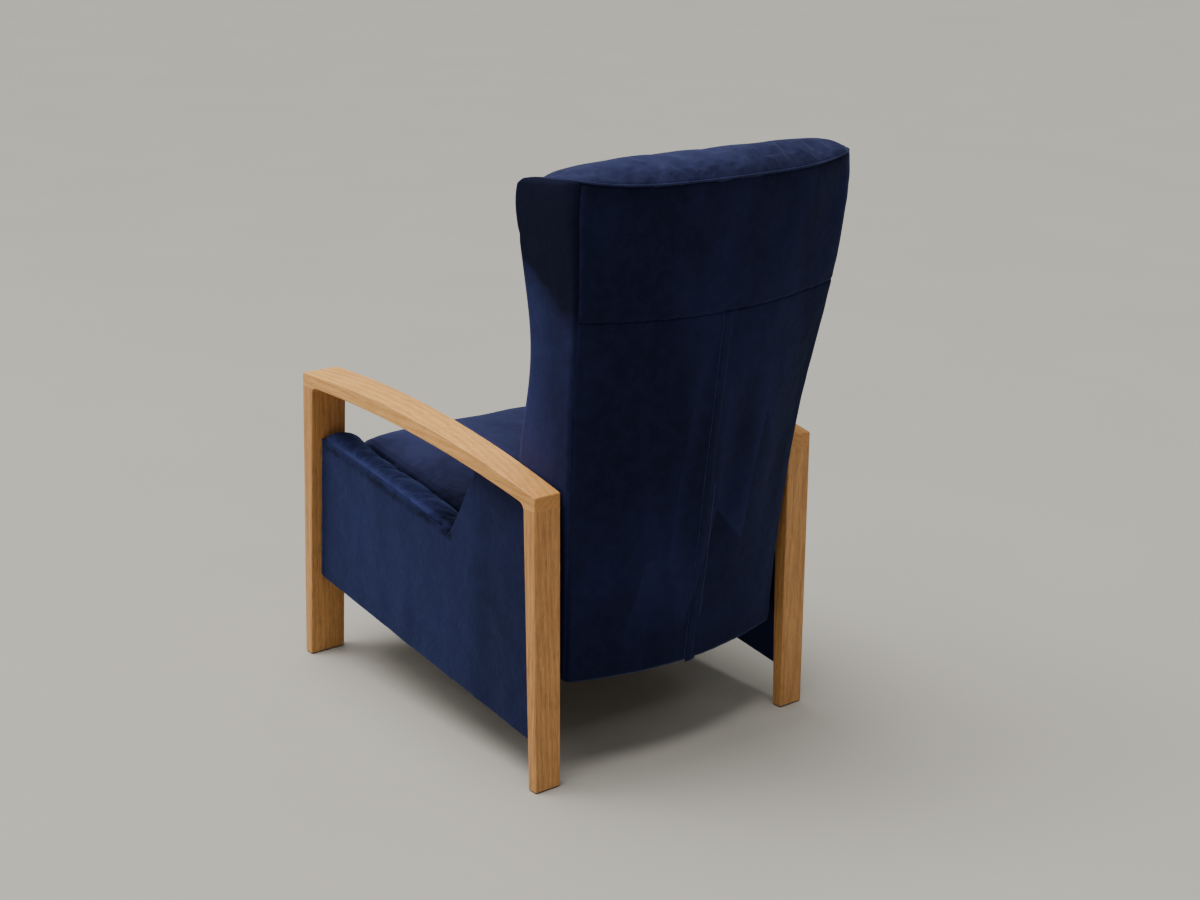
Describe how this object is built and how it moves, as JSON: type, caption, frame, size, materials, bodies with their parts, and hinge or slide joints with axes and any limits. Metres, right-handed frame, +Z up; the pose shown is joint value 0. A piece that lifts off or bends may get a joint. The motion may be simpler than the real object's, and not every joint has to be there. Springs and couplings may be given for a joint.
{
  "type": "reclining armchair",
  "caption": "Upholstered armchair with curved oak side frames, a padded seat that slides forward as the winged back reclines, and a flap foot rest.",
  "frame": {"origin": "middle of the outline on the floor, under the glides", "axes": "+Z up, -Y the way a sitter faces, +X to the sitter's left"},
  "size_m": [0.664, 0.8862, 1.14],
  "materials": {
    "oak": "satin lacquer",
    "beech": "planed, unfinished",
    "plywood": "sanded",
    "velvet": "short pile",
    "lining": "woven",
    "steel": "black powder coat",
    "zinc": "zinc plated",
    "nylon": "moulded"
  },
  "bodies": {
    "frame": {"left_arm": "oak", "right_arm": "oak", "left_front_leg": "oak", "right_front_leg": "oak", "left_rear_leg": "oak", "right_rear_leg": "oak", "arm_dowels": "beech", "floor_glides": "nylon", "left_side_board": "plywood", "right_side_board": "plywood", "left_side_cover": "velvet", "right_side_cover": "velvet", "side_board_pins": "beech", "front_cross_rail": "beech", "rear_cross_rail": "beech", "cross_rail_bolts": "zinc", "left_arm_roll": "velvet", "right_arm_roll": "velvet", "left_slide_plate": "steel", "right_slide_plate": "steel", "plate_screws": "zinc", "pivot_bushes": "nylon"},
    "seat": {"seat_side_rails": "beech", "seat_front_rail": "beech", "seat_rear_rail": "beech", "seat_webbing": "lining", "slide_shoes": "nylon", "slide_pins": "zinc", "drive_forks": "steel", "seat_cushion": "velvet", "footrest_brackets": "steel", "bracket_screws": "zinc"},
    "footrest": {"footrest_pad": "velvet", "footrest_board": "plywood", "footrest_plates": "steel", "footrest_screws": "zinc", "footrest_hinge_pins": "zinc"},
    "back": {"left_back_stile": "beech", "right_back_stile": "beech", "back_bottom_rail": "beech", "back_lumbar_rail": "beech", "back_middle_rail": "beech", "back_top_rail": "beech", "left_back_bracket": "steel", "right_back_bracket": "steel", "back_bracket_screws": "zinc", "pivot_pins": "zinc", "drive_pins": "zinc", "pivot_spacers": "nylon", "back_crest": "velvet", "left_wing": "velvet", "right_wing": "velvet", "back_cushion": "velvet", "head_cushion": "velvet", "lower_front_lining": "lining", "zip_placket": "velvet", "left_rear_cover": "velvet", "right_rear_cover": "velvet", "upper_rear_cover": "velvet"}
  },
  "joints": [
    {"name": "back_recline", "type": "hinge", "parent": "frame", "child": "back", "pos_m": [0, 0.2329, 0.4], "axis": [-1, 0, 0], "range_deg": [0, 28]},
    {"name": "seat_slide", "type": "slide", "parent": "frame", "child": "seat", "axis": [0, -0.9877, 0.1564], "range_m": [0, 0.059]},
    {"name": "footrest_lift", "type": "hinge", "parent": "seat", "child": "footrest", "pos_m": [0, -0.41966, 0.36226], "axis": [-1, 0, 0], "range_deg": [0, 85]}
  ],
  "couplings": [
    {"joint": "seat_slide", "follows": "back_recline", "m_per_rad": 0.12029}
  ]
}
